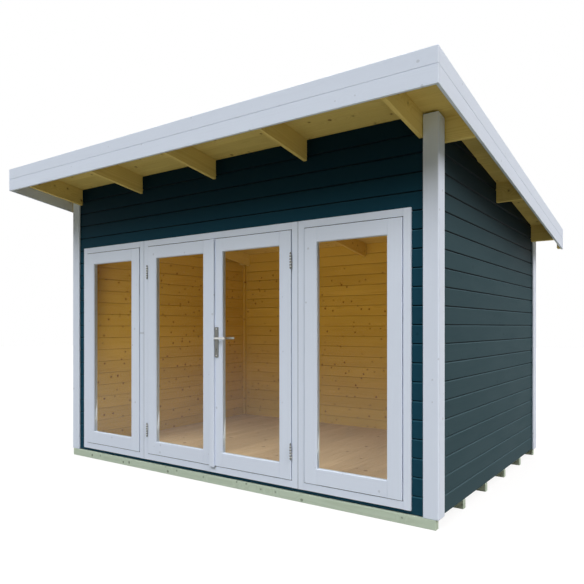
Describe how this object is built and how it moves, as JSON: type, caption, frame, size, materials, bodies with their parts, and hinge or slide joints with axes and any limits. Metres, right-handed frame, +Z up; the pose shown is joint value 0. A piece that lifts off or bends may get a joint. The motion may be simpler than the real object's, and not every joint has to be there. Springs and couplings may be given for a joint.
{
  "type": "garden house",
  "caption": "Log-board garden house with a pent roof falling to the back, a glazed double door between two fixed windows, a board floor and a wide front eave.",
  "frame": {"origin": "on the ground under the middle of the whole house, roof overhangs included", "axes": "+Z up; +X along the front from the left window to the right window; -Y is the front, with the double door"},
  "size_m": [4.023, 3.302, 2.6407],
  "materials": {
    "white_paint": "white opaque wood paint, satin",
    "blue_paint": "dark blue-grey opaque wood paint, satin",
    "raw_spruce": "planed spruce, unpainted",
    "floor_spruce": "planed spruce floor boards, unpainted",
    "treated_pine": "sawn pressure-treated pine, pale green",
    "steel": "brushed stainless steel",
    "glass": "clear float glass",
    "felt": "dark bitumen roofing felt with fine mineral surface"
  },
  "bodies": {
    "house": {"floor_beams": "treated_pine", "floor_deck": "floor_spruce", "front_wall_left": "blue_paint", "front_wall_right": "blue_paint", "front_wall_header": "blue_paint", "front_wall_sill": "blue_paint", "left_wall": "blue_paint", "right_wall": "blue_paint", "back_wall": "blue_paint", "front_left_cover": "white_paint", "front_right_cover": "white_paint", "back_left_cover": "white_paint", "back_right_cover": "white_paint", "inner_corner_strips": "raw_spruce", "left_window_frame": "white_paint", "left_window_sash": "white_paint", "left_window_glass": "glass", "right_window_frame": "white_paint", "right_window_sash": "white_paint", "right_window_glass": "glass", "door_frame": "white_paint", "left_hinge_pins": "steel", "right_hinge_pins": "steel", "rafter_1": "raw_spruce", "rafter_2": "raw_spruce", "rafter_3": "raw_spruce", "rafter_4": "raw_spruce", "rafter_5": "raw_spruce", "lookouts": "raw_spruce", "roof_boards": "raw_spruce", "roof_felt": "felt", "front_fascia": "white_paint", "left_fascia": "white_paint", "right_fascia": "white_paint", "rear_eave_board": "white_paint", "eave_end_battens": "raw_spruce"},
    "left_door": {"left_door_leaf": "white_paint", "left_door_glass": "glass", "left_hinge_knuckles": "steel"},
    "right_door": {"right_door_leaf": "white_paint", "right_door_glass": "glass", "meeting_strip": "white_paint", "right_hinge_knuckles": "steel", "handle_plates": "steel"},
    "door_handle": {"door_handle": "steel"}
  },
  "joints": [
    {"name": "left_door_hinge", "type": "hinge", "parent": "house", "child": "left_door", "pos_m": [-0.746, -1.148, 1], "axis": [0, 0, -1], "range_deg": [0, 160]},
    {"name": "right_door_hinge", "type": "hinge", "parent": "house", "child": "right_door", "pos_m": [0.746, -1.148, 1], "axis": [0, 0, 1], "range_deg": [0, 160]},
    {"name": "handle_turn", "type": "hinge", "parent": "right_door", "child": "door_handle", "pos_m": [0.047, -1.12, 1.131], "axis": [0, 1, 0], "range_deg": [0, 45], "stiffness_Nm_per_rad": 3, "springref_deg": -20.05}
  ]
}
